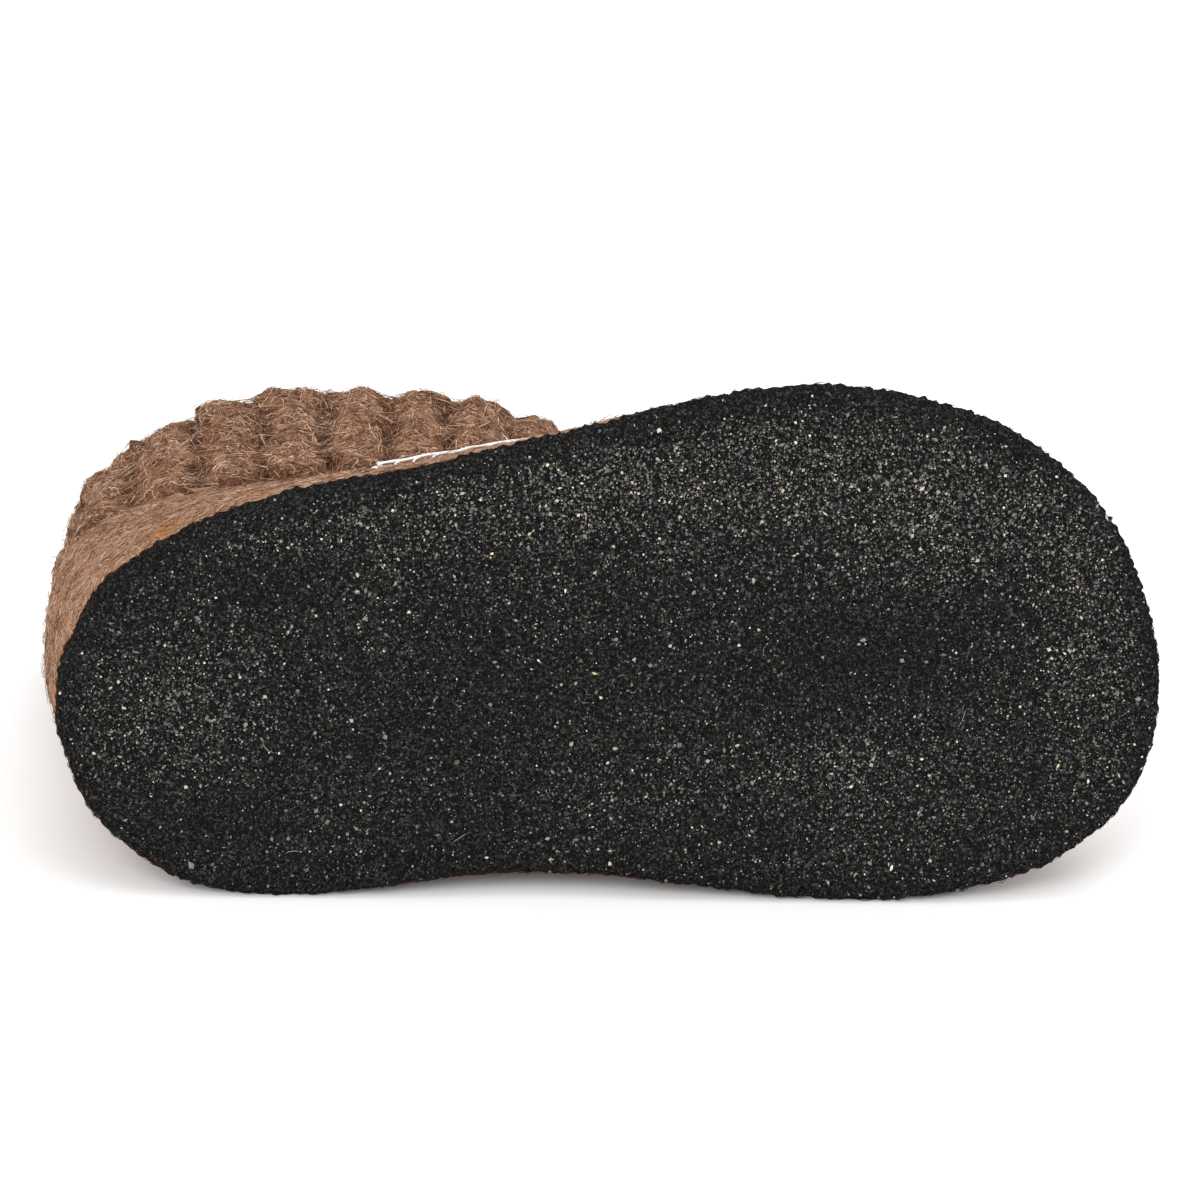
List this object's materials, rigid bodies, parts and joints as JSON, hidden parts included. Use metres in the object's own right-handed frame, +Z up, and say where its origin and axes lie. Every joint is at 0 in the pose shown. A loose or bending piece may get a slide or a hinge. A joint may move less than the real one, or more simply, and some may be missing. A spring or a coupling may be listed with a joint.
{
  "type": "slipper",
  "caption": "Child's felted wool slipper for the right foot, with a crumbed black felt sole and a ribbed knit cuff, lying on its inner side.",
  "frame": {"origin": "centre of the bounding box at the ground that the slipper lies on", "axes": "+X towards the toe, the sole's underside looks to -Y and a little up, +Z up, out of the outer side of the foot"},
  "size_m": [0.1578, 0.0882, 0.074],
  "materials": {
    "outsole": "matt black felt with pressed-in rubber crumb, small pale grains",
    "insole": "thick grey-brown wool felt",
    "upper": "fulled wool felt, warm light brown, hairy",
    "cuff": "chunky ribbed wool knit, warm brown, hairy",
    "patch": "thin bare pale patch, overcast with white thread"
  },
  "bodies": {
    "root": {"outsole": "outsole", "insole": "insole", "upper": "upper", "cuff": "cuff", "patch": "patch"}
  },
  "joints": []
}
